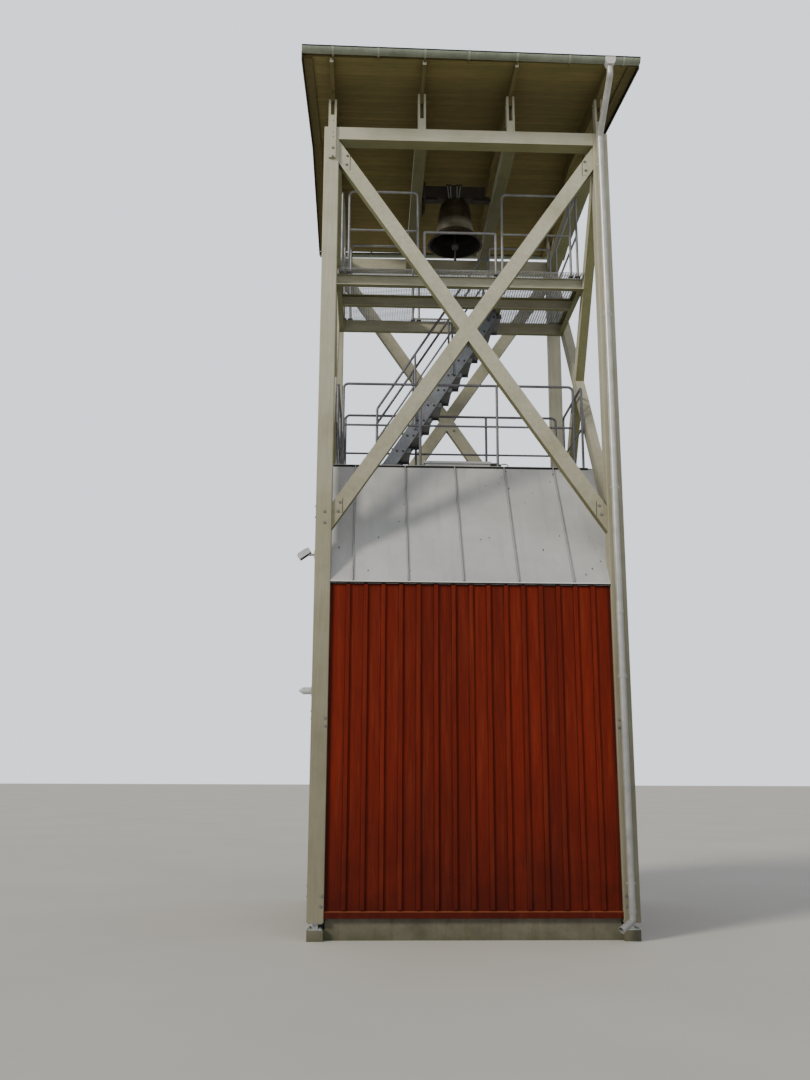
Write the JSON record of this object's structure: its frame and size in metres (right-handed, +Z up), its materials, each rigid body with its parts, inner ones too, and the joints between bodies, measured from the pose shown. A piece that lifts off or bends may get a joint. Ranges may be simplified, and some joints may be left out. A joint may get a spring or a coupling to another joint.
{
  "type": "bell tower",
  "caption": "Free-standing timber bell tower: four posts with crossed braces, a clad shed below, a steel bell platform and a low gable roof over a swinging bell",
  "frame": {"origin": "on the ground at the lowest point, under the middle of the plan", "axes": "+X to the right along the front, +Y from the front to the back, +Z up"},
  "size_m": [4.02, 4.994, 10.433],
  "materials": {
    "painted_timber": "satin paint on glued timber",
    "red_boards": "matt red paint on sawn boards",
    "seam_sheet": "pale grey standing-seam sheet",
    "galvanised_steel": "hot-dip galvanised",
    "concrete": "cast concrete",
    "stained_timber": "weathered olive-brown timber",
    "dark_sheet": "dark sheet",
    "green_sheet": "dark green coated sheet",
    "grey_pipe": "light grey coated pipe",
    "cast_iron": "painted iron",
    "dark_steel": "dark painted steel",
    "bell_bronze": "dark patinated bronze",
    "lamp_housing": "grey coated housing"
  },
  "bodies": {
    "tower": {"plinth": "concrete", "post_shoes": "galvanised_steel", "post_front_left": "painted_timber", "post_front_right": "painted_timber", "post_back_left": "painted_timber", "post_back_right": "painted_timber", "skirt_front": "seam_sheet", "skirt_back": "seam_sheet", "wall_front": "red_boards", "wall_back": "red_boards", "wall_left": "red_boards", "wall_right": "red_boards", "drip_boards": "red_boards", "deck": "stained_timber", "deck_hatch": "seam_sheet", "beam_front": "painted_timber", "beam_back": "painted_timber", "beams_side": "painted_timber", "bell_beams": "painted_timber", "braces_front": "painted_timber", "braces_back": "painted_timber", "braces_side": "painted_timber", "rafter_forks": "painted_timber", "tie_planks": "painted_timber", "rafters": "stained_timber", "verge_boards": "stained_timber", "roof_boards_front": "stained_timber", "roof_boards_back": "stained_timber", "roof_covering": "dark_sheet", "gutters": "green_sheet", "downpipes": "grey_pipe", "platform_frame": "galvanised_steel", "platform_grating": "galvanised_steel", "deck_railing_front": "galvanised_steel", "deck_railing_back": "galvanised_steel", "deck_railing_sides": "galvanised_steel", "platform_railing_front": "galvanised_steel", "platform_railing_back": "galvanised_steel", "platform_railing_sides": "galvanised_steel", "stair_stringers": "galvanised_steel", "stair_treads": "galvanised_steel", "stair_handrails": "galvanised_steel", "bell_bearings": "cast_iron", "floodlight": "lamp_housing", "wall_lamp": "lamp_housing"},
    "bell_assembly": {"headstock": "dark_steel", "ringing_wheel": "dark_steel", "bell": "bell_bronze"},
    "clapper_body": {"clapper": "cast_iron"}
  },
  "joints": [
    {"name": "bell_swing", "type": "hinge", "parent": "tower", "child": "bell_assembly", "pos_m": [0, 0, 9.545], "axis": [1, 0, 0], "range_deg": [-70, 70]},
    {"name": "clapper_swing", "type": "hinge", "parent": "bell_assembly", "child": "clapper_body", "pos_m": [0, 0, 9.33], "axis": [1, 0, 0], "range_deg": [-28, 28]}
  ]
}
